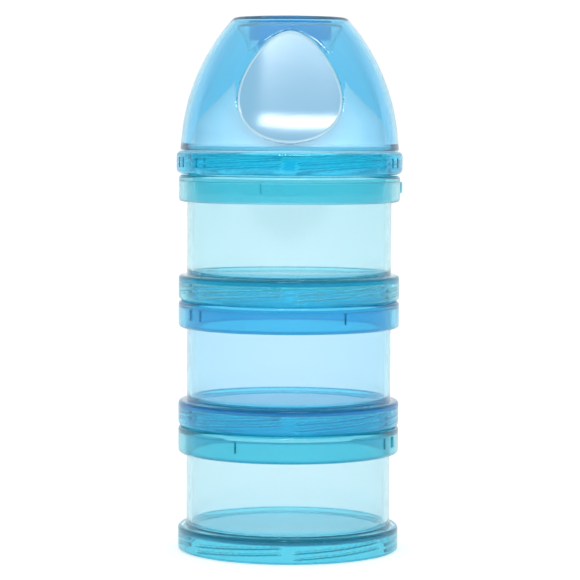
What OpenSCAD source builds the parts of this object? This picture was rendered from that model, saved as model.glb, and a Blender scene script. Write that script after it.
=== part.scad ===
/* [Jars] */
// outside diameter of a jar's skirt and collar
jar_od = 75; // [60:1:90]
// outside diameter of a jar's wall between them
wall_od = 69.3; // [55:0.1:84]
// thickness of a jar's wall
wall_t = 1.75; // [1.2:0.05:2.5]
// height that each jar adds to the stack
jar_pitch = 42.5; // [35:0.5:60]
// height of the skirt round a jar's foot
skirt_h = 8.5; // [7.5:0.1:12]
// height of the collar under a jar's neck
collar_h = 9.1; // [7:0.1:12]
// height of the neck above the collar
neck_h = 5.5; // [4.5:0.1:8]
// underside of a jar's floor above its foot
floor_z = 6.2; // [5.8:0.1:8]
// thickness of a jar's floor
floor_t = 2; // [1.5:0.1:3]

/* [Screw joints] */
// rise of one whole turn
lead = 12; // [8:1:18]
// thread starts side by side
starts = 6; // [4:1:8]
// how far a thread stands out of its wall
thread_h = 0.8; // [0.5:0.05:1]
// radial gap between the threads of two pieces
thread_gap = 0.3; // [0.2:0.05:0.4]

/* [Funnel lid] */
// outside diameter of the funnel's ring
ring_od = 76.6; // [70:0.1:90]
// height of the funnel's ring
ring_h = 7.8; // [6:0.1:10]
// outside radius of the funnel at its waist
waist_r = 14.2; // [10:0.1:18]
// thickness of the funnel's wall
funnel_t = 1.3; // [1.1:0.1:1.6]

/* [Overcap] */
// outside radius of the overcap at its mouth
cap_r = 37.1; // [34:0.1:40]
// height of the overcap
cap_h = 44.65; // [42:0.05:50]
// radius of the dome's curve seen from the side
dome_r = 68.2; // [60:0.1:80]
// thickness of the overcap's wall
cap_t = 1.65; // [1.4:0.05:2.2]
// outside radius of the plug that closes the spout
plug_r = 14; // [12:0.1:16]

/* [Hidden] */
$fn = 96;
R = jar_od / 2;
wall_r = wall_od / 2;
bore_r = wall_r - wall_t;
// neck and thread radii
neck_step = 0.7;
neck_r = wall_r - neck_step;
crest_r = neck_r + thread_h;
socket_r = crest_r + thread_gap;
inner_crest_r = neck_r + thread_gap;
// a jar's foot stands this far above the collar below it
stack_gap = 0.3;
collar_top = jar_pitch - stack_gap;
collar_z = collar_top - collar_h;
neck_top = collar_top + neck_h;
floor_top = floor_z + floor_t;
// the collar's top plate, and the gap inside its shell
plate_t = 2;
shell_gap = 0.55;
shell_r = wall_r + shell_gap;
// rounded corners: skirt and collar, the well's floor, the neck's mouth, the ring
foot_round = 1.2;
well_round = 2;
mouth_round = 0.4;
ring_round = 1.8;
// each start is this far above the one before
pitch = lead / starts;
lug_span = 330 / starts;
lug_rise = lead * lug_span / 360;
// half heights of a thread at its root and its crest
root_h = 0.5;
crest_h = 0.2;
// how deep a thread is rooted in its wall, and its lowest point over the collar
root_in = 0.4;
thread_z = 1;
// levels of the stack
stack_z = 3 * jar_pitch;
lid_z = stack_z + ring_h;
ring_r = ring_od / 2;
cap_gap = 0.25;
cap_z = lid_z + cap_gap;
top_z = cap_z + cap_h;
// the funnel's curves, heights from the ring's foot
bell_x = 17.6;
bell_z = 9.5;
bell_r = 15.7;
throat_r = 9.2;
throat_z = 39;
lip_r = 15;
lip_run = 43;
throat_x = waist_r + throat_r;
lip_x = waist_r + lip_r;
// spigot that the overcap's mouth grips
spigot_r = 35.4;
spigot_h = 1.6;
fit = 0.05;
// the funnel is pressed in the ring's hole, its flange on the spigot
hub_r = bell_x + bell_r + fit;
hub_z = floor_z + 0.2;
flange_r = 34.6;
flange_t = 0.8;
// seals: a ring with a narrower lip that meets the neck's mouth
seal_t = 0.96;
seal_w = 1.1;
seal_lip_w = 0.7;
seal_lip_h = 0.15;
seal_gap = 0.02;
// dome: a straight rim, then one arc
rim_h = 5.2;
rim_draft = 0.53;
rim_r = cap_r - rim_draft;
rim_top = cap_z + rim_h;
dome_z = lid_z - 1.1;
dome_x = rim_r - sqrt(pow(dome_r, 2) - pow(rim_top - dome_z, 2));
// the dome's top edge is broken from this radius, this far down
edge_r = 18.2;
edge_h = 0.65;
edge_run = 1.45;
// finger scoops: a waisted drum with its axis behind the dome
drum_x = 70;
scoop_r = 80;
scoop_y = 31.95;
scoop_z = lid_z + 14;
scoop_tilt = 19;
scoop_wall = 0.8;
pad_t = 0.6;
pad_edge = 0.8;
egg_z = lid_z + 21.3;
egg_h = 19.1;
egg_w = 17.2;
egg_k = 5;
// plug ring: its wall, its groove, and how far it reaches below the top
plug_wall = 1.7;
plug_h = 7.4;
plug_lip = 0.4;
groove_h = 1.05;
// marks raised on collars
mark_z = 3.2;
mark_h = 3.6;
mark_w = 1;
mark_out = 0.45;
pair_out = 0.35;
pair_gap = 2.9;
// marks sunk in the ring
grip_z = 2.4;
grip_h = 3.2;
grip_in = 0.4;
grip_gap = 2.2;

// block with rounded corners, drawn from r0 to r1 and z0 to z1
module soft_square(r0, r1, z0, z1, c) {
  translate([r0, z0 + c]) square([r1 - r0, z1 - z0 - 2 * c]);
  translate([r0, z0]) square([r1 - r0 - c, z1 - z0]);
  translate([r1 - c, z0 + c]) circle(r = c);
  translate([r1 - c, z1 - c]) circle(r = c);
}

// part of a ring between two angles
module arc_band(x, z, r, t, a0, a1) {
  translate([x, z]) intersection() {
    difference() {
      circle(r = r + t);
      circle(r = r);
    }
    polygon([
      [0, 0],
      [3 * r * cos(a0), 3 * r * sin(a0)],
      [3 * r * cos((a0 + a1) / 2), 3 * r * sin((a0 + a1) / 2)],
      [3 * r * cos(a1), 3 * r * sin(a1)]
    ]);
  }
}

// thread lugs, rooted at r_in and standing out to r_out, z of the lowest
module thread(r_in, r_out, z0) {
  tilt = atan(lead / (2 * PI * r_out));
  for (i = [0 : starts - 1], tier = [0 : 1])
    translate([0, 0, z0 + lug_rise / 2 + pitch * tier])
      rotate([0, 0, 360 * i / starts])
        rotate([tilt, 0, 0])
          rotate([0, 0, -lug_span / 2])
            rotate_extrude(angle = lug_span)
              polygon([
                [r_in, -root_h], [r_out, -crest_h],
                [r_out, crest_h], [r_in, root_h]
              ]);
}

// male thread round the neck, z from the jar's foot
module neck_thread() {
  thread(neck_r - root_in, crest_r, collar_top + thread_z);
}

// female thread in a skirt or ring, half a pitch away
module socket_thread() {
  thread(
    socket_r + root_in, inner_crest_r,
    collar_top + thread_z - jar_pitch + pitch / 2
  );
}

// raised marks on a collar, at angles to the right of the front
module marks(r, z, singles, pairs) {
  for (a = singles)
    rotate([0, 0, a]) translate([-mark_w / 2, -r - mark_out, z])
      cube([mark_w, 1.5, mark_h]);
  for (a = pairs)
    rotate([0, 0, a])
      for (s = [-1, 1])
        translate([s * pair_gap - mark_w / 2, -r - pair_out, z])
          cube([mark_w, 1.6, mark_h]);
}

module jar(singles, pairs) {
  // skirt and floor
  rotate_extrude() {
    difference() {
      soft_square(20, R, 0, skirt_h, foot_round);
      translate([0, -1]) square([socket_r, floor_z + 1]);
    }
    translate([0, floor_z]) square([21, floor_t]);
  }
  // wall, its lower corner rounded inside
  rotate_extrude() difference() {
    translate([0, floor_z + 0.5]) square([wall_r, collar_top - floor_z - 1]);
    translate([0, floor_top + well_round]) square([bore_r, jar_pitch]);
    translate([0, floor_top]) square([bore_r - well_round, 5]);
    translate([bore_r - well_round, floor_top + well_round])
      circle(r = well_round);
  }
  // collar: a plate, and a shell that hangs from it
  rotate_extrude() difference() {
    soft_square(bore_r, R, collar_z, collar_top, foot_round);
    translate([bore_r - 1, collar_z - 1])
      square([shell_r - bore_r + 1, collar_h - plate_t + 1]);
  }
  // neck with its rounded mouth
  rotate_extrude() {
    translate([bore_r, collar_top - 3])
      square([neck_r - bore_r, neck_h + 3 - mouth_round]);
    translate([bore_r + mouth_round, collar_top])
      square([neck_r - bore_r - 2 * mouth_round, neck_h]);
    for (r = [bore_r + mouth_round, neck_r - mouth_round])
      translate([r, neck_top - mouth_round]) circle(r = mouth_round);
  }
  neck_thread();
  socket_thread();
  marks(R, collar_z + mark_z, singles, pairs);
}

// soft ring pressed under a floor, over the neck's mouth
module seal(z) {
  color([0.93, 0.95, 0.96])
    translate([0, 0, z + floor_z - seal_t - seal_gap])
      rotate_extrude() {
        translate([bore_r + 0.1, seal_lip_h])
          square([seal_w, seal_t - seal_lip_h]);
        translate([bore_r + 0.1 + (seal_w - seal_lip_w) / 2, 0])
          square([seal_lip_w, seal_t]);
      }
}

module bottom_jar() {
  color([0.55, 0.84, 0.89]) jar([-28], [63.5]);
}

module lower_seal() seal(jar_pitch);

module middle_jar() {
  color([0.38, 0.74, 0.9]) translate([0, 0, jar_pitch]) jar([30], [-56]);
}

module middle_seal() seal(2 * jar_pitch);

module top_jar() {
  color([0.6, 0.86, 0.91])
    translate([0, 0, 2 * jar_pitch]) jar([90], [-10.5]);
}

module upper_seal() seal(3 * jar_pitch);

module lid_ring() {
  color([0.2, 0.68, 0.88]) translate([0, 0, stack_z]) {
    difference() {
      // ring and spigot
      rotate_extrude() difference() {
        union() {
          soft_square(20, ring_r, 0, ring_h, ring_round);
          square([spigot_r, ring_h + spigot_h]);
        }
        translate([0, -1]) square([socket_r, floor_z + 1]);
        square([hub_r, 20]);
      }
      // grip marks sunk in the ring
      for (a = [-71, -50, 67])
        rotate([0, 0, a])
          for (s = [-1, 1])
            translate([s * grip_gap - mark_w / 2, -ring_r - 1, grip_z])
              cube([mark_w, 1 + grip_in, grip_h]);
    }
    socket_thread();
  }
}

module pour_funnel() {
  // the straight run touches both curves
  dx = throat_x - bell_x;
  dz = throat_z - bell_z;
  span = sqrt(dx * dx + dz * dz);
  turn = atan2(dz, dx) - acos((bell_r + throat_r) / span);
  out = [cos(turn), sin(turn)];
  bell_p = [bell_x, bell_z] + bell_r * out;
  thr_p = [throat_x, throat_z] - throat_r * out;
  // tongues in the middle of the wall tie the straight run to the curves
  tongue = 0.5 * (thr_p - bell_p) / norm(thr_p - bell_p);
  mid = out * funnel_t / 2;
  color([0.72, 0.9, 0.95]) translate([0, 0, stack_z]) rotate_extrude() {
    // hub in the ring's hole, and its flange
    translate([bell_x + bell_r - funnel_t, hub_z])
      square([funnel_t, bell_z - hub_z]);
    translate([hub_r - 0.8, ring_h + spigot_h + fit])
      square([flange_r - hub_r + 0.8, flange_t]);
    // bell, straight run, throat and pouring lip
    arc_band(bell_x, bell_z, bell_r - funnel_t, funnel_t, 0, turn);
    polygon([
      bell_p, thr_p, thr_p - mid + tongue, thr_p - 2 * mid,
      bell_p - 2 * mid, bell_p - mid - tongue
    ]);
    arc_band(throat_x, throat_z, throat_r, funnel_t, 180, 180 + turn);
    arc_band(lip_x, throat_z, lip_r, funnel_t, 180 - lip_run, 180);
  }
}

// the dome's outline, shrunk inward by d
module dome_shape(d) {
  difference() {
    translate([dome_x, dome_z]) circle(r = dome_r - d);
    translate([-200, -200]) square([200, 600]);
    translate([-1, 0]) square([200, rim_top]);
    translate([-1, top_z - d]) square([200, 100]);
    if (d == 0)
      polygon([
        [edge_r, top_z], [edge_r + edge_run, top_z - edge_h],
        [edge_r + 5, top_z - edge_h], [edge_r + 5, top_z + 1],
        [edge_r, top_z + 1]
      ]);
  }
  polygon([
    [0, cap_z - (d > 0 ? 1 : 0)], [cap_r - d, cap_z - (d > 0 ? 1 : 0)],
    [cap_r - d, cap_z], [rim_r - d, rim_top], [0, rim_top]
  ]);
}

// everything in front of the scoop's skin, the skin moved in by d
module scoop(d) {
  n = [cos(scoop_tilt), sin(scoop_tilt)];
  up = [-sin(scoop_tilt), cos(scoop_tilt)];
  hub = [drum_x + scoop_y, scoop_z] + scoop_r * n;
  touch = hub - (scoop_r + d - 0.05) * n;
  end = touch + 45 * up;
  intersection() {
    translate([0, drum_x, 0]) {
      rotate_extrude($fn = 240) translate(hub) circle(r = scoop_r + d);
      rotate_extrude($fn = 240)
        polygon([touch, end, [hub[0], end[1]], hub]);
    }
    translate([-40, -60, lid_z - 5]) cube([80, 60, cap_h + 15]);
  }
}

// egg outline, drawn in by e, run through the front wall
module egg(e) {
  translate([0, -12, egg_z]) rotate([90, 0, 0]) linear_extrude(35)
    polygon([
      for (i = [0 : 71])
        let (t = 5 * i + 2.5)
        [
          (egg_w - e - egg_k * cos(t)) * sin(t),
          (egg_h - e) * cos(t)
        ]
    ]);
}

module overcap() {
  color([0.25, 0.69, 0.87]) difference() {
    rotate_extrude() dome_shape(0);
    // inside, held off behind the scoops
    difference() {
      rotate_extrude() dome_shape(cap_t);
      scoop(pad_t + scoop_wall);
      mirror([0, 1, 0]) scoop(pad_t + scoop_wall);
    }
    // straight bore at the mouth
    translate([0, 0, cap_z - 1])
      cylinder(r = spigot_r + fit, h = spigot_h + 1.3);
    // scoops and the seats sunk in them
    for (m = [0, 1])
      mirror([0, m, 0]) {
        scoop(0);
        intersection() {
          scoop(pad_t);
          egg(pad_edge);
        }
      }
    // groove for the plug
    translate([0, 0, top_z - cap_t - 0.1]) difference() {
      cylinder(r = plug_r, h = groove_h);
      translate([0, 0, -1]) cylinder(r = plug_r - plug_wall, h = 3);
    }
  }
}

module spout_plug() {
  plug_z = top_z - plug_lip - plug_h;
  color([0.12, 0.6, 0.82]) rotate_extrude() {
    translate([plug_r - plug_wall, plug_z])
      square([plug_wall, top_z - cap_t + 0.95 - plug_z]);
    translate([plug_r - plug_wall + plug_lip, plug_z - plug_lip])
      square([plug_wall - 2 * plug_lip, 3]);
  }
}

module pad() {
  color([0.66, 0.85, 0.93]) intersection() {
    egg(pad_edge + fit);
    difference() {
      scoop(pad_t);
      scoop(0);
    }
  }
}

module front_grip_pad() pad();

module rear_grip_pad() mirror([0, 1, 0]) pad();

bottom_jar();
lower_seal();
middle_jar();
middle_seal();
top_jar();
upper_seal();
lid_ring();
pour_funnel();
overcap();
spout_plug();
front_grip_pad();
rear_grip_pad();
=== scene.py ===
import math

import bpy
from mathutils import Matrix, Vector


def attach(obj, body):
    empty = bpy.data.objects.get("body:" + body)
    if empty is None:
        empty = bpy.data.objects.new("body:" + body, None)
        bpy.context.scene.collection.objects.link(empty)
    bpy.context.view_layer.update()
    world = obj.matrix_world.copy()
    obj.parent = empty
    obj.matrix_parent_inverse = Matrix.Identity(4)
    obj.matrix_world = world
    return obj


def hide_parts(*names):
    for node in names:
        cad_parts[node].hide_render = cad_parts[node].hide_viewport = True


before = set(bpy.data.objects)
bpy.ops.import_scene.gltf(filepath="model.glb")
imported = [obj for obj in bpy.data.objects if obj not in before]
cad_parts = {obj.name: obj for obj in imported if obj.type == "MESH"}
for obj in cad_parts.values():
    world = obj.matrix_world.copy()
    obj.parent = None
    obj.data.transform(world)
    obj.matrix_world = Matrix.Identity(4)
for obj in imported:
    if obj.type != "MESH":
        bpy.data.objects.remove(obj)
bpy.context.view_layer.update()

MM = 0.001  # outlines below are in millimetres, as the object's drawings are

# the stack: jars PITCH apart, each with a skirt, a wall, a collar and a threaded neck
PITCH = 42.5
JAR_R = 37.5
WALL_R = 34.65
BORE_R = 32.9
SHELL_R = 35.2
SKIRT_H = 8.5
FLOOR_Z = 6.2
FLOOR_TOP = 8.2
COLLAR_Z = 33.1
COLLAR_TOP = 42.2
NECK_R = 33.95
NECK_TOP = 47.7
SOCKET_R = 35.05

# threads: lugs that rise at the lead, on each neck and, half a pitch away, in each socket
THREAD_H = 0.8
LEAD = 12.0
STARTS = 6
THREAD_PITCH = LEAD / STARTS
LUG_SPAN = 55.0
LUG_HALF = 0.62
LUG_FLANK = 0.52
LUG_FADE = 3.5
NECK_THREAD_Z = COLLAR_TOP + 1
SOCKET_THREAD_Z = NECK_THREAD_Z - PITCH + THREAD_PITCH / 2
SEAL_T = 0.96

# the lid: a ring with a spigot, and the funnel's bell, throat and lip as arcs in section
LID_Z = 3 * PITCH
RING_R = 38.3
RING_H = 7.8
SPIGOT_R = 35.4
SPIGOT_TOP = 9.4
BELL = (17.6, 9.5)
BELL_R = 15.7
THROAT = (23.4, 39.0)
THROAT_R = 9.2
LIP = (29.2, 39.0)
LIP_R = 15.0
LIP_RUN = 43.0
FUNNEL_T = 1.3
HUB_R = BELL[0] + BELL_R
HUB_Z = 6.4
FLANGE_R = 34.6
FLANGE_T = 0.8

# the overcap: a rim, a dome of one large radius, a flat top with a plug under it
CAP_Z = LID_Z + RING_H + 0.25
TOP_Z = CAP_Z + 44.65
CAP_R = 37.1
CAP_T = 1.65
RIM_H = 5.2
RIM_R = CAP_R - 0.53
DOME_R = 68.2
DOME_Z = LID_Z + RING_H - 1.1
DOME_X = RIM_R - math.sqrt(DOME_R**2 - (CAP_Z + RIM_H - DOME_Z) ** 2)
EDGE_R = 18.15
EDGE_ROUND = 2.0
PLUG_R = 14.0
PLUG_T = 1.7
PLUG_Z = TOP_Z - 7.8
GROOVE_H = 0.98
GAP = 0.03  # between pieces of the overcap that are pressed together

# the scoops: each follows a drum whose own axis stands DRUM_Y behind the stack's
DRUM_Y = 70.0
SCOOP_R = 80.0
SCOOP_Y = 31.95
SCOOP_Z = LID_Z + RING_H + 14
SCOOP_TILT = math.radians(19.0)
SCOOP_WALL = 0.8
PAD_T = 0.6
PAD_EDGE = 0.65
EGG_Z = LID_Z + RING_H + 21.3
EGG_H = 19.1
EGG_W = 17.2
EGG_K = 5.0


# ---------------------------------------------------------------- materials

CLEAR_IOR, SATIN_IOR = 1.49, 1.46


def node(tree, kind, **inputs):
    """A new node, with its sockets set by name."""
    made = tree.nodes.new(kind)
    for key, value in inputs.items():
        made.inputs[key.replace("_", " ")].default_value = value
    return made


def moulded_surface(tree, shader, rough, ripple, scale):
    """Roughness that wanders a little, and the faint waviness of a moulding."""
    place = tree.nodes.new("ShaderNodeTexCoord")
    haze = node(tree, "ShaderNodeTexNoise", Scale=scale, Detail=4.0)
    tree.links.new(place.outputs["Object"], haze.inputs["Vector"])
    span = node(tree, "ShaderNodeMapRange")
    span.inputs["To Min"].default_value = rough[0]
    span.inputs["To Max"].default_value = rough[1]
    tree.links.new(haze.outputs["Fac"], span.inputs["Value"])
    tree.links.new(span.outputs["Result"], shader.inputs["Roughness"])
    wave = node(tree, "ShaderNodeTexNoise", Scale=scale * 0.35, Detail=2.0)
    tree.links.new(place.outputs["Object"], wave.inputs["Vector"])
    bump = node(tree, "ShaderNodeBump", Strength=ripple, Distance=0.0002)
    tree.links.new(wave.outputs["Fac"], bump.inputs["Height"])
    tree.links.new(bump.outputs["Normal"], shader.inputs["Normal"])


def by_height(tree, stops, repeat):
    """A colour that follows the height up the stack, in millimetres, starting again at
    each repeat."""
    place = tree.nodes.new("ShaderNodeTexCoord")
    axes = tree.nodes.new("ShaderNodeSeparateXYZ")
    level = tree.nodes.new("ShaderNodeMath")
    level.operation = "DIVIDE"
    level.inputs[1].default_value = repeat * MM
    part = tree.nodes.new("ShaderNodeMath")
    part.operation = "FRACT"
    ramp = tree.nodes.new("ShaderNodeValToRGB")
    while len(ramp.color_ramp.elements) < len(stops):
        ramp.color_ramp.elements.new(0.5)
    for element, (height, tint) in zip(ramp.color_ramp.elements, stops):
        element.position = height / repeat
        element.color = (*tint, 1)
    tree.links.new(place.outputs["Object"], axes.inputs["Vector"])
    tree.links.new(axes.outputs["Z"], level.inputs[0])
    tree.links.new(level.outputs["Value"], part.inputs[0])
    tree.links.new(part.outputs["Value"], ramp.inputs["Fac"])
    return ramp.outputs["Color"]


def grey(value):
    """A colour that is the same in red, green and blue."""
    return (value, value, value)


def jar_levels(skirt, wall, collar):
    """Heights and colours: a jar is thick round its foot, and from its collar up."""
    return [(SKIRT_H - 1.0, skirt), (SKIRT_H, wall), (COLLAR_Z, wall), (COLLAR_Z + 0.6, collar)]


def clear_plastic(name, absorb, haze, milk, milk_colour, shadow, tint=(1, 1, 1), levels=None,
                  repeat=2 * LID_Z):
    """Tinted clear plastic. absorb: how much each colour fades per millimetre. haze: the least
    and most roughness. milk: share of the light that scatters where it meets the surface.
    shadow: what a shadow keeps of the light. tint: what the surface lets through.
    levels: those of tint, milk and milk_colour that follow the height, from 0 to repeat."""
    material = bpy.data.materials.new(name)
    material.use_nodes = True
    tree = material.node_tree
    tree.nodes.clear()
    out = tree.nodes.new("ShaderNodeOutputMaterial")
    glass = tree.nodes.new("ShaderNodeBsdfPrincipled")
    glass.inputs["Base Color"].default_value = (*tint, 1)
    glass.inputs["Transmission Weight"].default_value = 1.0
    glass.inputs["IOR"].default_value = CLEAR_IOR
    moulded_surface(tree, glass, haze, 0.1, 60.0)
    cloud = tree.nodes.new("ShaderNodeBsdfPrincipled")
    cloud.inputs["Base Color"].default_value = (*milk_colour, 1)
    cloud.inputs["IOR"].default_value = CLEAR_IOR
    cloud.inputs["Specular IOR Level"].default_value = 0.0
    moulded_surface(tree, cloud, (0.3, 0.4), 0.1, 60.0)
    body = node(tree, "ShaderNodeMixShader", Fac=milk)
    sockets = {
        "tint": glass.inputs["Base Color"],
        "milk": body.inputs["Fac"],
        "milk_colour": cloud.inputs["Base Color"],
    }
    for key, stops in (levels or {}).items():
        tree.links.new(by_height(tree, stops, repeat), sockets[key])
    tree.links.new(glass.outputs["BSDF"], body.inputs[1])
    tree.links.new(cloud.outputs["BSDF"], body.inputs[2])
    lamp = node(tree, "ShaderNodeBsdfTransparent", Color=(*shadow, 1))
    path = tree.nodes.new("ShaderNodeLightPath")
    pick = tree.nodes.new("ShaderNodeMixShader")
    tree.links.new(path.outputs["Is Shadow Ray"], pick.inputs["Fac"])
    tree.links.new(body.outputs["Shader"], pick.inputs[1])
    tree.links.new(lamp.outputs["BSDF"], pick.inputs[2])
    tree.links.new(pick.outputs["Shader"], out.inputs["Surface"])
    peak = max(absorb)
    fade = tree.nodes.new("ShaderNodeVolumeAbsorption")
    fade.inputs["Color"].default_value = (*[1 - a / peak for a in absorb], 1)
    fade.inputs["Density"].default_value = peak / MM
    tree.links.new(fade.outputs["Volume"], out.inputs["Volume"])
    return material


def solid_plastic(name, colour, rough, ripple, scale, gloss=0.5, through=0.0):
    """Plastic or rubber that is opaque, or that lets a share of the light through."""
    material = bpy.data.materials.new(name)
    material.use_nodes = True
    tree = material.node_tree
    shader = tree.nodes["Principled BSDF"]
    shader.inputs["Base Color"].default_value = (*colour, 1)
    shader.inputs["IOR"].default_value = SATIN_IOR
    shader.inputs["Specular IOR Level"].default_value = gloss
    shader.inputs["Transmission Weight"].default_value = through
    moulded_surface(tree, shader, rough, ripple, scale)
    return material


# ------------------------------------------------------------------ outlines

def arc(centre, radius, start, end, steps=8):
    """Points along an arc, angles in degrees from +r towards +z."""
    return [
        (
            centre[0] + radius * math.cos(math.radians(start + (end - start) * i / steps)),
            centre[1] + radius * math.sin(math.radians(start + (end - start) * i / steps)),
        )
        for i in range(steps + 1)
    ]


def line(start, end, step):
    """Points from start to end, not more than step apart."""
    n = max(1, math.ceil(math.dist(start, end) / step))
    return [
        (start[0] + (end[0] - start[0]) * i / n, start[1] + (end[1] - start[1]) * i / n)
        for i in range(n + 1)
    ]


def smooth(t):
    """Eases from 0 to 1."""
    t = min(1.0, max(0.0, t))
    return t * t * (3 - 2 * t)


def thread_lift(z, angle, lowest):
    """How far up a thread a point is, 0 to 1. The lowest lug of each start begins at z lowest."""
    sector = 360 / STARTS
    across = (angle + sector / 2) % sector - sector / 2
    middle = lowest + LEAD * LUG_SPAN / 720 + LEAD * across / 360
    near = min(abs(z - middle), abs(z - middle - THREAD_PITCH))
    return smooth((LUG_SPAN / 2 - abs(across)) / LUG_FADE) * smooth((LUG_HALF - near) / LUG_FLANK)


def mark_lift(z, angle, low, high, places, half_width):
    """1 on the flat crest of each mark, 0 off them. Angles run from the front to the right."""
    if not low <= z <= high:
        return 0.0
    for place in places:
        off = abs((angle + 90 - place + 180) % 360 - 180)
        if off <= half_width:
            return smooth(2 * (1 - off / half_width))
    return 0.0


# -------------------------------------------------------------------- meshes

SHARP = math.radians(35.0)


def finish_mesh(name, verts, faces, material):
    """An object from points in millimetres, smooth except at sharp edges."""
    mesh = bpy.data.meshes.new(name)
    mesh.from_pydata([(x * MM, y * MM, z * MM) for x, y, z in verts], [], faces)
    mesh.update()
    mesh.shade_smooth()
    mesh.set_sharp_from_angle(angle=SHARP)
    mesh.materials.append(material)
    made = bpy.data.objects.new(name, mesh)
    bpy.context.scene.collection.objects.link(made)
    return made


def angles_with(marks, half_width, steps=360):
    """Even steps round the circle, with extra ones across each mark."""
    found = {round(360 * i / steps, 4) for i in range(steps)}
    for place in marks:
        for part in range(-4, 5):
            found.add(round((place - 90 + half_width * part / 4) % 360, 4))
    return sorted(found)


def lathe(name, outline, material, lift=None, angles=None, closed=True, base=0.0):
    """Turns an outline round the axis. lift(r, z, angle, index) gives each point's own radius.
    The solid lies to the left of the outline. An open outline starts and ends on the axis."""
    angles = angles or [360 * i / 256 for i in range(256)]
    turns = len(angles)
    verts, faces, rows = [], [], []
    for i, (r, z) in enumerate(outline):
        if r < 1e-6:
            rows.append([len(verts)])
            verts.append((0.0, 0.0, base + z))
            continue
        rows.append(list(range(len(verts), len(verts) + turns)))
        for a in angles:
            rr = lift(r, z, a, i) if lift else r
            verts.append((rr * math.cos(math.radians(a)), rr * math.sin(math.radians(a)), base + z))
    pairs = list(zip(rows, rows[1:] + rows[:1])) if closed else list(zip(rows, rows[1:]))
    for low, high in pairs:
        for k in range(turns):
            n = (k + 1) % turns
            if len(low) == 1:
                faces.append((low[0], high[n], high[k]))
            elif len(high) == 1:
                faces.append((low[k], low[n], high[0]))
            else:
                faces.append((low[k], low[n], high[n], high[k]))
    return finish_mesh(name, verts, faces, material)


# ---------------------------------------------------------------------- jars

MARK_LOW, MARK_HIGH = COLLAR_Z + 3.2, COLLAR_Z + 6.8
MARK_OUT = 0.7
MARK_HALF = math.degrees(0.55 / JAR_R)
BRACKET = math.degrees(2.9 / JAR_R)


def jar_outline():
    """Down-facing floor, socket, skirt, wall, collar, neck, bore and well, from axis to axis."""
    foot = 1.2
    points = [(0.0, FLOOR_Z)]
    points += line((2.0, FLOOR_Z), (SOCKET_R - 0.4, FLOOR_Z), 8)
    points += arc((SOCKET_R - 0.4, FLOOR_Z - 0.4), 0.4, 90, 0, 4)
    points += line((SOCKET_R, FLOOR_Z - 0.5), (SOCKET_R, 0.5), 0.14)
    points += arc((SOCKET_R + 0.35, 0.35), 0.35, 180, 270, 5)
    points += arc((JAR_R - foot, foot), foot, 270, 360, 8)
    points += arc((JAR_R - foot, SKIRT_H - foot), foot, 0, 90, 8)
    points += arc((WALL_R + 0.5, SKIRT_H + 0.5), 0.5, 270, 180, 5)
    points += line((WALL_R, SKIRT_H + 2), (WALL_R, COLLAR_TOP - 2.3), 6)
    points += arc(((WALL_R + SHELL_R) / 2, COLLAR_TOP - 2.3), (SHELL_R - WALL_R) / 2, 180, 0, 8)
    points += line((SHELL_R, COLLAR_TOP - 3), (SHELL_R, COLLAR_Z + 0.5), 4)
    points += arc((SHELL_R + 0.3, COLLAR_Z + 0.3), 0.3, 180, 270, 4)
    points += arc((JAR_R - foot, COLLAR_Z + foot), foot, 270, 360, 8)
    points += [(JAR_R, MARK_LOW - 0.06), (JAR_R, MARK_LOW), (JAR_R, MARK_HIGH), (JAR_R, MARK_HIGH + 0.06)]
    points += arc((JAR_R - foot, COLLAR_TOP - foot), foot, 0, 90, 8)
    points += arc((NECK_R + 0.3, COLLAR_TOP + 0.3), 0.3, 270, 180, 4)
    points += line((NECK_R, COLLAR_TOP + 0.45), (NECK_R, NECK_TOP - 0.45), 0.14)
    points += arc((NECK_R - 0.4, NECK_TOP - 0.4), 0.4, 0, 90, 5)
    points += arc((BORE_R + 0.4, NECK_TOP - 0.4), 0.4, 90, 180, 5)
    points += line((BORE_R, NECK_TOP - 1.5), (BORE_R, FLOOR_TOP + 3), 6)
    points += arc((BORE_R - 2, FLOOR_TOP + 2), 2, 0, -90, 10)
    points += line((BORE_R - 4, FLOOR_TOP), (2.0, FLOOR_TOP), 8)
    points.append((0.0, FLOOR_TOP))
    return points


def jar(name, level, material, marks):
    """A jar with its two threads, and raised marks at the given angles round its collar."""
    def lift(r, z, angle, index):
        if abs(r - SOCKET_R) < 1e-6 and z < FLOOR_Z:
            return r - THREAD_H * thread_lift(z, angle, SOCKET_THREAD_Z)
        if abs(r - NECK_R) < 1e-6 and z > COLLAR_TOP:
            return r + THREAD_H * thread_lift(z, angle, NECK_THREAD_Z)
        if abs(r - JAR_R) < 1e-6:
            return r + MARK_OUT * mark_lift(z, angle, MARK_LOW, MARK_HIGH, marks, MARK_HALF)
        return r

    return lathe(
        name, jar_outline(), material, lift,
        angles_with(marks, MARK_HALF), closed=False, base=level * PITCH,
    )


def seal(name, level, material):
    """Soft ring with a narrower lip below, which meets the neck's mouth."""
    high = level * PITCH + FLOOR_Z - 0.02
    low = high - SEAL_T
    inner, outer = BORE_R + 0.1, BORE_R + 1.2
    outline = [
        *line((inner + 0.2, low), (outer - 0.2, low), 1),
        *arc((outer - 0.15, low + 0.3), 0.15, -90, 0, 4),
        *arc((outer - 0.2, high - 0.2), 0.2, 0, 90, 4),
        *arc((inner + 0.2, high - 0.2), 0.2, 90, 180, 4),
        *arc((inner + 0.15, low + 0.3), 0.15, 180, 270, 4),
    ]
    return lathe(name, outline, material)


# ---------------------------------------------------------------- funnel lid

RING_ROUND = 1.8
GRIP_LOW, GRIP_HIGH = 2.4, 5.6
GRIP_IN = 0.4
GRIP_HALF = math.degrees(0.6 / RING_R)
GRIP_STEP = math.degrees(2.2 / RING_R)


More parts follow.
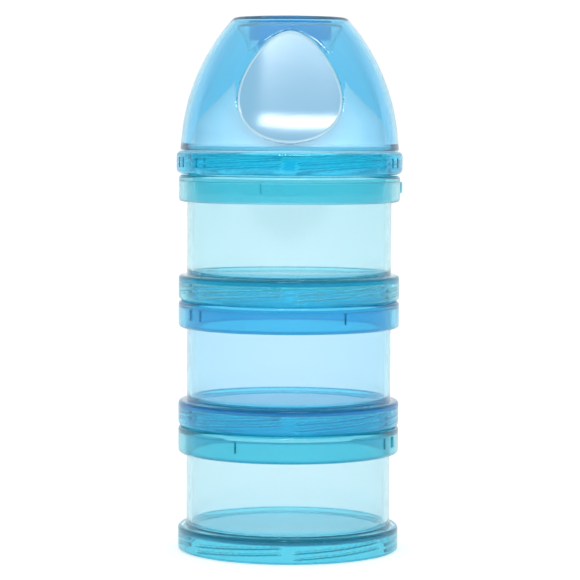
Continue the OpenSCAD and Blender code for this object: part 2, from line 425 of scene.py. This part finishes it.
def bell_turn():
    """The angle where the bell's curve runs straight into the throat's."""
    across, up = THROAT[0] - BELL[0], THROAT[1] - BELL[1]
    return math.degrees(math.atan2(up, across) - math.acos((BELL_R + THROAT_R) / math.hypot(across, up)))


def ring_outline():
    """The ring with its thread socket, top plate and spigot."""
    hub = HUB_R + 0.05
    points = line((hub, FLOOR_Z), (SOCKET_R - 0.4, FLOOR_Z), 3)
    points += arc((SOCKET_R - 0.4, FLOOR_Z - 0.4), 0.4, 90, 0, 4)
    points += line((SOCKET_R, FLOOR_Z - 0.5), (SOCKET_R, 0.5), 0.14)
    points += arc((SOCKET_R + 0.35, 0.35), 0.35, 180, 270, 5)
    points += arc((RING_R - RING_ROUND, RING_ROUND), RING_ROUND, 270, 360, 10)
    points += [(RING_R, GRIP_LOW - 0.06), (RING_R, GRIP_LOW)]
    points += [(RING_R, GRIP_HIGH), (RING_R, GRIP_HIGH + 0.06)]
    points += arc((RING_R - RING_ROUND, RING_H - RING_ROUND), RING_ROUND, 0, 90, 10)
    points += [(SPIGOT_R + 0.1, RING_H), (SPIGOT_R, RING_H + 0.1)]
    points += arc((SPIGOT_R - 0.3, SPIGOT_TOP - 0.3), 0.3, 0, 90, 4)
    points += arc((hub + 0.3, SPIGOT_TOP - 0.3), 0.3, 90, 180, 4)
    return points


def funnel_outline():
    """A hub with a flange, the bell, the throat and the pouring lip with its rounded end."""
    turn = bell_turn()
    flange_low, flange_high = SPIGOT_TOP + 0.05, SPIGOT_TOP + 0.05 + FLANGE_T
    over = math.degrees(math.asin((flange_high - BELL[1]) / BELL_R))
    lip_end = 180 - LIP_RUN + math.degrees(FUNNEL_T / 2 / LIP_R)
    inner_bell = BELL_R - FUNNEL_T
    tip = arc(LIP, LIP_R + FUNNEL_T / 2, lip_end, lip_end, 1)[0]
    points = arc((HUB_R - 0.2, HUB_Z + 0.2), 0.2, 270, 360, 3)
    points += line((HUB_R, HUB_Z + 0.4), (HUB_R, flange_low), 1.5)
    points += arc((FLANGE_R - 0.25, flange_low + 0.25), 0.25, 270, 360, 4)
    points += arc((FLANGE_R - 0.25, flange_high - 0.25), 0.25, 0, 90, 4)
    points += arc(BELL, BELL_R, over, turn, 44)
    points += arc(THROAT, THROAT_R, 180 + turn, 180, 24)
    points += arc(LIP, LIP_R, 179, lip_end + 1, 24)
    points += arc(tip, FUNNEL_T / 2, lip_end - 180, lip_end, 8)
    points += arc(LIP, LIP_R + FUNNEL_T, lip_end + 1, 179, 24)
    points += arc(THROAT, THROAT_R + FUNNEL_T, 180, 180 + turn, 24)
    points += arc(BELL, inner_bell, turn, 0, 44)
    points += line((HUB_R - FUNNEL_T, BELL[1] - 0.5), (HUB_R - FUNNEL_T, HUB_Z + 0.2), 1.5)
    points += arc((HUB_R - FUNNEL_T + 0.2, HUB_Z + 0.2), 0.2, 180, 270, 3)
    return points


def lid_ring(name, material, grips):
    """The ring with its thread, and a pair of sunk marks on either side of each given angle."""
    places = [p + s for p in grips for s in (-GRIP_STEP, GRIP_STEP)]

    def lift(r, z, angle, index):
        if abs(r - SOCKET_R) < 1e-6 and z < FLOOR_Z:
            return r - THREAD_H * thread_lift(z, angle, SOCKET_THREAD_Z)
        if abs(r - RING_R) < 1e-6:
            return r - GRIP_IN * mark_lift(z, angle, GRIP_LOW, GRIP_HIGH, places, GRIP_HALF)
        return r

    return lathe(name, ring_outline(), material, lift, angles_with(places, GRIP_HALF), base=LID_Z)


def pour_funnel(name, material):
    """The funnel, plain all the way round."""
    return lathe(name, funnel_outline(), material, base=LID_Z)


# ------------------------------------------------------------------- overcap

def dome_radius(z, inward=0.0):
    """Radius of the dome's skin at a height, the skin moved in by inward."""
    if z < CAP_Z + RIM_H:
        return CAP_R - inward - (CAP_R - RIM_R) * max(0.0, z - CAP_Z) / RIM_H
    return DOME_X + math.sqrt(max(0.0, (DOME_R - inward) ** 2 - (z - DOME_Z) ** 2))


def drum_radius(z, inward=0.0):
    """Radius of the drum that a scoop follows, from its own axis."""
    across, up = math.cos(SCOOP_TILT), math.sin(SCOOP_TILT)
    hub_r, hub_z = DRUM_Y + SCOOP_Y + SCOOP_R * across, SCOOP_Z + SCOOP_R * up
    radius = SCOOP_R + inward
    touch_r, touch_z = hub_r - radius * across, hub_z - radius * up
    if z > touch_z:
        return touch_r - (z - touch_z) * up / across
    return hub_r - math.sqrt(radius**2 - (z - hub_z) ** 2)


def scoop_depth(x, z, inward=0.0):
    """Distance of the scoop's skin in front of the stack's axis, x to the side of it."""
    return math.sqrt(drum_radius(z, inward) ** 2 - x * x) - DRUM_Y


def scoop_radius(angle, z, inward=0.0):
    """Distance from the axis to the nearer scoop's skin along a ray at an angle."""
    side, ahead = abs(math.cos(math.radians(angle))), abs(math.sin(math.radians(angle)))
    drum = drum_radius(z, inward)
    inside = drum * drum - (DRUM_Y * side) ** 2
    return -DRUM_Y * ahead + math.sqrt(inside) if inside > 0 else 1e9


def soft_min(a, b, width):
    """The smaller of two, with the corner between them rounded off."""
    if abs(a - b) >= width:
        return min(a, b)
    return min(a, b) - (width - abs(a - b)) ** 2 / (4 * width)


def egg_inset(x, z):
    """How far inside the egg outline a point is, in millimetres, nearly."""
    up = (z - EGG_Z) / EGG_H
    if abs(up) >= 1:
        return -EGG_H * (abs(up) - 1)
    width = (EGG_W - EGG_K * up) * math.sqrt(1 - up * up)
    slope = math.hypot(1.0, (EGG_W / EGG_H) * up / math.sqrt(1 - up * up))
    return (width - abs(x)) / slope


def cap_skin(z, angle):
    """Radius of the overcap's outside, its scoops and the seats in them."""
    dome = dome_radius(z)
    scoop = scoop_radius(angle, z)
    radius = soft_min(dome, scoop, 0.25)
    if radius < dome - 0.05:
        x = radius * math.cos(math.radians(angle))
        seat = smooth((egg_inset(x, z) - PAD_EDGE + 0.4) / 0.35)
        if seat > 0:
            radius += seat * (scoop_radius(angle, z, PAD_T) - scoop)
    return radius


def cap_lining(z, angle):
    """Radius of the overcap's inside, with the backs of its scoops."""
    return soft_min(dome_radius(z, CAP_T), scoop_radius(angle, z, PAD_T + SCOOP_WALL), 1.0)


def overcap(name, material):
    """From the middle of the ceiling out and down the inside, then up the outside to the top."""
    ceiling = TOP_Z - CAP_T
    groove_in, groove_out = PLUG_R - PLUG_T - GAP, PLUG_R + GAP
    corner = 1.6
    corner_z = ceiling - 0.75 * corner
    corner_r = dome_radius(corner_z, CAP_T)
    mouth_r = SPIGOT_R + 0.05
    edge_z = TOP_Z - EDGE_ROUND
    edge_turn = math.degrees(math.asin((edge_z - DOME_Z) / (DOME_R - EDGE_ROUND)))
    edge = arc((EDGE_R, edge_z), EDGE_ROUND, edge_turn, 90, 8)
    sections = [
        (None, [(0.0, ceiling), (2.0, ceiling), (8.0, ceiling), (groove_in, ceiling)]),
        (None, [(groove_in, ceiling + GROOVE_H), (groove_out, ceiling + GROOVE_H), (groove_out, ceiling)]),
        (None, arc((corner_r - corner, ceiling - corner), corner, 90, 40, 4)),
        ("lining", line((corner_r, corner_z), (corner_r, CAP_Z + 1.9), 0.36)),
        (None, [(mouth_r, CAP_Z + 1.6), (mouth_r, CAP_Z + 0.3), (mouth_r + 0.2, CAP_Z)]),
        (None, [(CAP_R - 0.5, CAP_Z), (CAP_R - 0.2, CAP_Z + 0.08), (CAP_R - 0.05, CAP_Z + 0.2)]),
        ("skin", line((CAP_R, CAP_Z + 0.35), (CAP_R, edge[0][1] - 0.2), 0.26)),
        (None, edge),
        (None, [(15.0, TOP_Z), (12.0, TOP_Z), (8.0, TOP_Z), (2.0, TOP_Z), (0.0, TOP_Z)]),
    ]
    outline = [point for kind, points in sections for point in points]
    kinds = [kind for kind, points in sections for point in points]

    def lift(r, z, angle, index):
        if kinds[index] == "skin":
            return cap_skin(z, angle)
        if kinds[index] == "lining":
            return cap_lining(z, angle)
        return r

    return lathe(name, outline, material, lift, [0.5 * i for i in range(720)], closed=False)


def spout_plug(name, material):
    """A ring with its upper end in the groove under the overcap's top."""
    low, high = PLUG_Z, TOP_Z - CAP_T + GROOVE_H - GAP
    outline = [
        *arc((PLUG_R - 0.5, low + 0.5), 0.5, -90, 0, 6),
        *line((PLUG_R, low + 0.8), (PLUG_R, high), 2),
        *line((PLUG_R - PLUG_T, high), (PLUG_R - PLUG_T, low + 0.8), 2),
        *arc((PLUG_R - PLUG_T + 0.5, low + 0.5), 0.5, 180, 270, 6),
    ]
    return lathe(name, outline, material)


# the rim of a pad: share of its outline, and depth behind the scoop's skin
PAD_RIM = [
    (0.955, 0.0), (0.962, -0.06), (0.969, -0.15), (0.976, -0.2), (0.984, -0.17),
    (0.991, -0.06), (0.997, 0.08), (1.0, 0.25), (1.0, PAD_T - 0.02),
]


def grip_pad(name, side, material, rim_highlight_material):
    """Egg-shaped pad with a proud rim, in a scoop. The rim's faces take a paler second material, a painted
    highlight along the rim. side is -1 in front and 1 behind.
    """
    rings, turns = 36, 160
    verts, faces = [], []
    wide, tall = EGG_W - PAD_EDGE, EGG_H - PAD_EDGE

    def rim(k, scale):
        t = 2 * math.pi * (k + 0.5) / turns
        return scale * (wide - EGG_K * math.cos(t)) * math.sin(t), EGG_Z + scale * tall * math.cos(t)

    def row(scale, depth):
        start = len(verts)
        for k in range(turns):
            x, z = rim(k, scale)
            verts.append((x, side * scoop_depth(x, z, depth), z))
        return list(range(start, start + turns))

    rows = [row(0.05 + 0.9 * i / rings, 0.0) for i in range(rings + 1)]
    rows += [row(scale, depth) for scale, depth in PAD_RIM]
    rows += [row(0.98 - 0.93 * i / 6, PAD_T - 0.02) for i in range(7)]
    for low, high in zip(rows, rows[1:]):
        for k in range(turns):
            n = (k + 1) % turns
            quad = (low[k], low[n], high[n], high[k])
            faces.append(quad if side > 0 else quad[::-1])
    faces.append(tuple(rows[0][::-1]) if side > 0 else tuple(rows[0]))
    faces.append(tuple(rows[-1]) if side > 0 else tuple(rows[-1][::-1]))
    made = finish_mesh(name, verts, faces, material)
    made.data.materials.append(rim_highlight_material)
    # the rim's faces get the paler material: a painted highlight, not a colour the pad has
    first, last = (rings + 1) * turns, (rings + len(PAD_RIM) - 1) * turns
    for polygon in made.data.polygons[first:last]:
        polygon.material_index = 1
    return made


# ------------------------------------------------------------------- assembly

WHITE = grey(1.0)
CLEAR_HAZE = (0.02, 0.06)
THICK_MILK = jar_levels(grey(0.15), grey(0.09), grey(0.13))
aqua = clear_plastic(
    "aqua_clear", absorb=(0.09, 0.02, 0.011), haze=CLEAR_HAZE, milk=0.09,
    milk_colour=(0.02, 0.68, 0.88), shadow=(0.88, 0.98, 0.99), repeat=PITCH,
    levels={"tint": jar_levels((0.5, 0.92, 0.98), WHITE, (0.76, 0.97, 0.98)), "milk": THICK_MILK},
)
aqua_deep = clear_plastic(
    "aqua_clear_deep", absorb=(0.09, 0.028, 0.018), haze=CLEAR_HAZE, milk=0.09,
    milk_colour=(0.0, 0.6, 0.78), shadow=(0.85, 0.97, 0.98), repeat=PITCH,
    levels={"tint": jar_levels((0.3, 0.84, 0.93), WHITE, (0.4, 0.86, 0.93)), "milk": THICK_MILK},
)
blue = clear_plastic(
    "blue_clear", absorb=(0.13, 0.024, 0.01), haze=CLEAR_HAZE, milk=0.09,
    milk_colour=(0.0, 0.52, 0.9), shadow=(0.82, 0.96, 0.98), repeat=PITCH,
    levels={
        "tint": jar_levels((0.22, 0.84, 0.97), (1.0, 0.98, 1.0), (0.38, 0.82, 0.95)),
        "milk": THICK_MILK,
    },
)
# the ring is deep blue below, and as pale as the funnel where the overcap grips it
RING_TOP = LID_Z + RING_H
RING_CLOUD = (0.0, 0.66, 0.98)
FUNNEL_CLOUD = (0.97, 0.99, 1.0)
ring_blue = clear_plastic(
    "ring_clear", absorb=(0.25, 0.016, 0.003), haze=CLEAR_HAZE, milk=0.17,
    milk_colour=RING_CLOUD, shadow=(0.8, 0.97, 0.99),
    levels={
        "tint": [(RING_TOP - 0.3, (0.36, 0.9, 0.985)), (RING_TOP, WHITE)],
        "milk": [(RING_TOP - 0.3, grey(0.17)), (RING_TOP, grey(0.6))],
        "milk_colour": [(RING_TOP - 0.3, RING_CLOUD), (RING_TOP, FUNNEL_CLOUD)],
    },
)
# the lip is drawn thinner than the bell, so less of the light scatters in it
funnel_pale = clear_plastic(
    "funnel_milky", absorb=(0.03, 0.01, 0.003), haze=(0.06, 0.12), milk=0.6,
    milk_colour=FUNNEL_CLOUD, shadow=(0.9, 0.97, 0.99),
    levels={"milk": [(LID_Z + 12, grey(0.85)), (LID_Z + 34, grey(0.6)), (LID_Z + 39, grey(0.1))]},
)
cap_blue = clear_plastic(
    "cap_clear", absorb=(0.08, 0.012, 0.003), haze=(0.01, 0.04), milk=0.06,
    milk_colour=(0.02, 0.55, 0.9), shadow=WHITE, tint=(0.46, 0.8, 0.96),
)
plug_blue = clear_plastic(
    "plug_clear", absorb=(0.5, 0.05, 0.01), haze=(0.05, 0.12), milk=0.4,
    milk_colour=(0.0, 0.45, 0.85), shadow=(0.5, 0.8, 0.95), tint=(0.25, 0.78, 0.97),
)
seal_white = solid_plastic("seal_silicone", (0.86, 0.92, 0.95), (0.4, 0.6), 0.2, 300.0, through=0.4)
pad_satin = solid_plastic("pad_satin", (0.24, 0.53, 0.76), (0.12, 0.15), 0.06, 500.0, gloss=0.8)
# a paler blue for the pads' rims: a painted highlight, standing in for the bright line the rim catches
pad_edge = solid_plastic("pad_edge", (0.5, 0.76, 0.9), (0.14, 0.18), 0.05, 500.0, gloss=0.6)


def bracket(at):
    """The two strokes of a bracket-like mark."""
    return [at - BRACKET, at + BRACKET]


bottom = jar("bottom_jar_body", 0, aqua_deep, [-28] + bracket(63.5))
middle = jar("middle_jar_body", 1, blue, [30] + bracket(-56))
top = jar("top_jar_body", 2, aqua, [90] + bracket(-10.5))
built = [
    (bottom, "base", "bottom_jar", "aqua_jar"),
    (middle, "middle", "middle_jar", "blue_jar"),
    (top, "top", "top_jar", "aqua_jar"),
    (seal("lower_seal_ring", 1, seal_white), "lower_ring", "lower_seal", "seal"),
    (seal("middle_seal_ring", 2, seal_white), "middle_ring", "middle_seal", "seal"),
    (seal("upper_seal_ring", 3, seal_white), "upper_ring", "upper_seal", "seal"),
    (lid_ring("lid_ring_body", ring_blue, [-71, -50, 67]), "lid", "lid_ring", "lid"),
    (pour_funnel("pour_funnel_body", funnel_pale), "lid", "pour_funnel", "funnel"),
    (overcap("overcap_body", cap_blue), "cap", "overcap", "cap"),
    (spout_plug("spout_plug_ring", plug_blue), "cap", "spout_plug", "plug"),
    (grip_pad("front_pad", -1, pad_satin, pad_edge), "cap", "front_grip_pad", "pad"),
    (grip_pad("rear_pad", 1, pad_satin, pad_edge), "cap", "rear_grip_pad", "pad"),
]
for piece, body, cad_node, slot in built:
    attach(piece, body)
    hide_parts(cad_node)


# ------------------------------------------------------------ floor and light

PAPER_GLOW = 0.42
ROOM_FRONT, ROOM_BACK, ROOM_SIDES = 0.3, 1.05, 0.45


def sweep():
    """A seamless floor that curves up behind the object."""
    radius, depth, half = 0.8, 1.6, 4.0
    path = [(-2.5, 0.0), (depth, 0.0)]
    path += [
        (depth + radius * math.sin(math.radians(a)), radius * (1 - math.cos(math.radians(a))))
        for a in range(6, 91, 6)
    ]
    path.append((depth + radius, 3.0))
    verts = [(x, y, z) for y, z in path for x in (-half, half)]
    faces = [(2 * i, 2 * i + 1, 2 * i + 3, 2 * i + 2) for i in range(len(path) - 1)]
    mesh = bpy.data.meshes.new("sweep")
    mesh.from_pydata(verts, [], faces)
    mesh.shade_smooth()
    made = bpy.data.objects.new("sweep", mesh)
    bpy.context.scene.collection.objects.link(made)
    paper = solid_plastic("paper", (0.9, 0.9, 0.9), (0.7, 0.9), 0.05, 8.0)
    paper_shader = paper.node_tree.nodes["Principled BSDF"]
    paper_shader.inputs["Specular IOR Level"].default_value = 0.0
    paper_shader.inputs["Emission Color"].default_value = (1, 1, 1, 1)
    paper_shader.inputs["Emission Strength"].default_value = PAPER_GLOW
    mesh.materials.append(paper)


def lamp(name, place, target, size, power):
    """A rectangular lamp that is not seen through the clear plastic."""
    data = bpy.data.lights.new(name, "AREA")
    data.shape = "RECTANGLE"
    data.size, data.size_y = size
    data.energy = power
    made = bpy.data.objects.new(name, data)
    made.location = place
    made.rotation_euler = (Vector(target) - Vector(place)).to_track_quat("-Z", "Y").to_euler()
    made.visible_transmission = False
    bpy.context.scene.collection.objects.link(made)
    return made


def room():
    """A white world, dimmer towards the front and the sides."""
    world = bpy.data.worlds.new("studio")
    bpy.context.scene.world = world
    world.use_nodes = True
    tree = world.node_tree
    glow = tree.nodes["Background"]
    glow.inputs["Color"].default_value = (1, 1, 1, 1)
    place = tree.nodes.new("ShaderNodeTexCoord")
    axes = tree.nodes.new("ShaderNodeSeparateXYZ")
    span = tree.nodes.new("ShaderNodeMapRange")
    span.inputs["From Min"].default_value = -1.0
    span.inputs["From Max"].default_value = 0.2
    span.inputs["To Min"].default_value = ROOM_FRONT
    span.inputs["To Max"].default_value = ROOM_BACK
    tree.links.new(place.outputs["Generated"], axes.inputs["Vector"])
    tree.links.new(axes.outputs["Y"], span.inputs["Value"])
    aside = tree.nodes.new("ShaderNodeMath")
    aside.operation = "ABSOLUTE"
    flags = tree.nodes.new("ShaderNodeMapRange")
    flags.inputs["From Min"].default_value = 0.55
    flags.inputs["From Max"].default_value = 0.9
    flags.inputs["To Min"].default_value = 1.0
    flags.inputs["To Max"].default_value = ROOM_SIDES
    both = tree.nodes.new("ShaderNodeMath")
    both.operation = "MULTIPLY"
    tree.links.new(axes.outputs["X"], aside.inputs[0])
    tree.links.new(aside.outputs["Value"], flags.inputs["Value"])
    tree.links.new(span.outputs["Result"], both.inputs[0])
    tree.links.new(flags.outputs["Result"], both.inputs[1])
    tree.links.new(both.outputs["Value"], glow.inputs["Strength"])


def lamps():
    """A strip above the front that only gloss shows, a fill that gloss doesn't show, and a
    soft box that lights the funnel alone, without shadows."""
    strip = lamp("strip", (0.06, -0.746, 0.853), (0, -0.03, 0.155), (0.5, 0.09), 3.0)
    strip.visible_diffuse = False
    fill = lamp("fill", (0, -1.6, 0.9), (0, 0, 0.09), (2.0, 2.0), 11.0)
    fill.visible_glossy = False
    soft = lamp("soft", (0, -0.9, 0.4), (0, 0, 0.15), (0.9, 0.6), 11.0)
    soft.data.color = (1.0, 0.62, 0.54)
    soft.data.use_shadow = False
    soft.visible_glossy = False
    inside = bpy.data.collections.new("inside_the_overcap")
    inside.objects.link(bpy.data.objects["pour_funnel_body"])
    soft.light_linking.receiver_collection = inside


def camera():
    """Long lens, a little above the object, as the view is."""
    data = bpy.data.cameras.new("camera")
    data.sensor_width = 36.0
    data.lens = 168.0
    data.clip_start, data.clip_end = 0.05, 20.0
    made = bpy.data.objects.new("camera", data)
    pitch, roll = math.radians(3.55), math.radians(-0.3)
    made.location = (0.00005, -0.917, 0.145)
    made.rotation_euler = (math.pi / 2 - pitch, roll, 0.0)
    bpy.context.scene.collection.objects.link(made)
    bpy.context.scene.camera = made


sweep()
room()
lamps()
camera()
# light passes many walls of clear plastic on its way through the stack
scene = bpy.context.scene
scene.view_settings.view_transform = "Standard"
scene.cycles.max_bounces = 48
scene.cycles.transmission_bounces = 48
scene.cycles.transparent_max_bounces = 24
